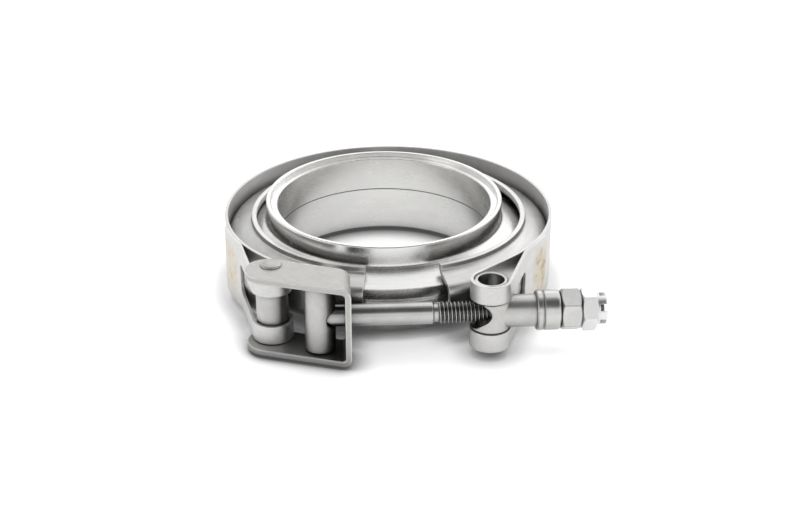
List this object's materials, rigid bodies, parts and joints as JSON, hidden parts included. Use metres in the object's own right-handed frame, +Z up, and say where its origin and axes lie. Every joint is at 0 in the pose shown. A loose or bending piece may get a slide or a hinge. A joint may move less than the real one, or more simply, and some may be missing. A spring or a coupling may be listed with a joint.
{
  "type": "v band clamp",
  "caption": "Quick-release T-bolt V band clamp, loosely closed over a pair of turned weld flanges for joining two exhaust tubes.",
  "frame": {"origin": "centre of the lower flange's tube end, on the flange axis, at the floor", "axes": "+Z up along the flange axis, +X along the bolt towards its nuts, -Y the side that the bolt is on"},
  "size_m": [0.1005, 0.0997, 0.025],
  "materials": {
    "turned_flange": "turned, satin",
    "strap_steel": "fine brushed sheet",
    "retainer_steel": "rolled sheet, tumbled",
    "latch_steel": "pressed sheet, tumbled",
    "barrel_steel": "satin",
    "bolt_steel": "polished shank",
    "trunnion_steel": "turned, satin",
    "nut_steel": "satin",
    "lock_nut_plate": "bright silver plate"
  },
  "bodies": {
    "ring": {"upper_flange": "turned_flange", "lower_flange": "turned_flange", "band": "strap_steel", "left_retainer": "retainer_steel", "right_retainer": "retainer_steel"},
    "latch": {"latch_bracket": "latch_steel", "latch_rivet": "latch_steel", "latch_barrel": "barrel_steel"},
    "trunnion": {"trunnion": "trunnion_steel", "thrust_collar": "nut_steel"},
    "bolt": {"t_bolt": "bolt_steel", "bolt_cross_bar": "barrel_steel"},
    "plain_nut": {"plain_nut": "nut_steel"},
    "lock_nut": {"lock_nut": "lock_nut_plate"}
  },
  "joints": [
    {"name": "latch_swing", "type": "hinge", "parent": "ring", "child": "latch", "pos_m": [-0.03128, -0.0386, 0.01225], "axis": [0, 0, 1], "range_deg": [-104, 0]},
    {"name": "bolt_swing", "type": "hinge", "parent": "ring", "child": "trunnion", "pos_m": [0.02548, -0.04618, 0.01225], "axis": [0, 0, 1], "range_deg": [-0.3, 5.5]},
    {"name": "bolt_slide", "type": "slide", "parent": "trunnion", "child": "bolt", "axis": [1, 0, 0], "range_m": [-0.004, 0.0009]},
    {"name": "plain_nut_spin", "type": "hinge", "parent": "trunnion", "child": "plain_nut", "pos_m": [0.0463, -0.04618, 0.01225], "axis": [1, 0, 0], "range_deg": [-330, 1450]},
    {"name": "lock_nut_spin", "type": "hinge", "parent": "trunnion", "child": "lock_nut", "pos_m": [0.0523, -0.04618, 0.01225], "axis": [1, 0, 0], "range_deg": [-330, 1450]}
  ],
  "couplings": [
    {"joint": "bolt_swing", "follows": "latch_swing", "ratio": -0.05},
    {"joint": "plain_nut_spin", "follows": "bolt_slide", "rad_per_m": -6283.2},
    {"joint": "lock_nut_spin", "follows": "bolt_slide", "rad_per_m": -6283.2}
  ]
}
